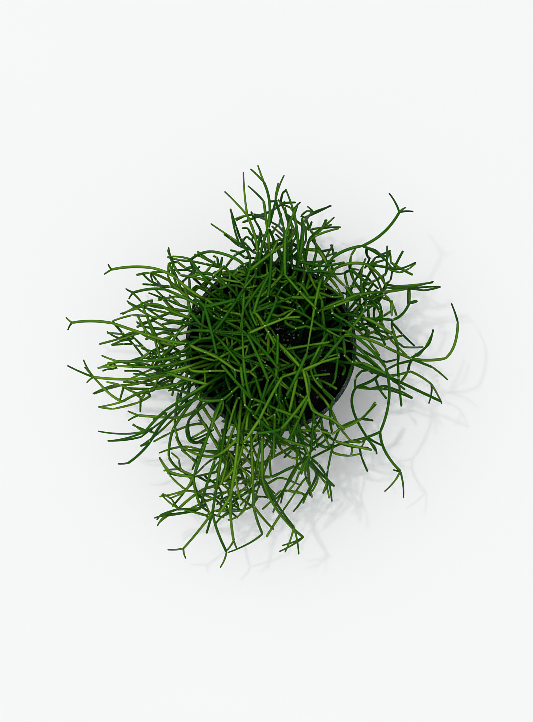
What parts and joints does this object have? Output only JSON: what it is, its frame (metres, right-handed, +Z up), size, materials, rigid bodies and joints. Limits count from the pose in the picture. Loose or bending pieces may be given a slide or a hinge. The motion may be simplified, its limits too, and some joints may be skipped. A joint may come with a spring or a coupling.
{
  "type": "potted mistletoe cactus",
  "caption": "Trailing mistletoe cactus with thin green leafless stems that fork and arch over the rim of a small round dark plastic nursery pot filled with soil.",
  "frame": {"origin": "centre of the pot's base, on the surface it stands on", "axes": "+Z up along the pot's axis; +Y towards the top of the plan view and +X to its right"},
  "size_m": [0.2761, 0.2857, 0.1562],
  "materials": {
    "pot_plastic": "dark blue-grey moulded plastic, slightly glossy, dusted with dry soil at the rim",
    "potting_soil": "nearly black peat and fine bark with pale grains of perlite",
    "green_stem": "smooth waxy green skin, yellow-green where young and deep green below, with pale dots at the joints and tips"
  },
  "bodies": {
    "root": {"pot": "pot_plastic", "soil": "potting_soil", "stem_east_high": "green_stem", "stem_east_arm": "green_stem", "stem_east_hook": "green_stem", "stem_east_long": "green_stem", "stem_far_hook": "green_stem", "stem_south_east_long": "green_stem", "stem_south_east_y": "green_stem", "stem_south_east_arch": "green_stem", "stem_south_east_low": "green_stem", "stem_east_drop": "green_stem", "stem_south_fan": "green_stem", "stem_south_hairpin": "green_stem", "stem_south_low": "green_stem", "stem_south_tip": "green_stem", "stem_south_mid": "green_stem", "stem_south_west_low": "green_stem", "stem_south_west_mid": "green_stem", "stem_south_west_arch": "green_stem", "stem_south_west_pin": "green_stem", "stem_south_west_fork": "green_stem", "stem_south_west_bow": "green_stem", "stem_west_low": "green_stem", "stem_west_pair": "green_stem", "stem_west_under": "green_stem", "stem_far_west": "green_stem", "stem_west_cross": "green_stem", "stem_west_mid": "green_stem", "stem_west_curl": "green_stem", "stem_far_west_bar": "green_stem", "stem_west_short": "green_stem", "stem_north_west_low": "green_stem", "stem_north_west_mid": "green_stem", "stem_north_west_bar": "green_stem", "stem_north_west_short": "green_stem", "stem_north_west_fork": "green_stem", "stem_north_west_bow": "green_stem", "stem_north_tall": "green_stem", "stem_north_pair": "green_stem", "stem_north_low": "green_stem", "stem_north_leaf": "green_stem", "stem_north_split": "green_stem", "stem_north_hook": "green_stem", "stem_north_east_arm": "green_stem", "stem_north_east_fan": "green_stem", "stem_north_east_low": "green_stem", "stem_core_west": "green_stem", "stem_core_east": "green_stem", "stem_core_middle": "green_stem", "stem_core_north": "green_stem", "stem_core_north_east": "green_stem", "stem_core_long": "green_stem", "stem_core_east_bow": "green_stem", "stem_core_cross": "green_stem", "stem_core_north_west": "green_stem", "stem_core_south_west_long": "green_stem", "stem_core_west_low": "green_stem", "stem_core_south_west": "green_stem", "stem_core_south": "green_stem"}
  },
  "joints": []
}
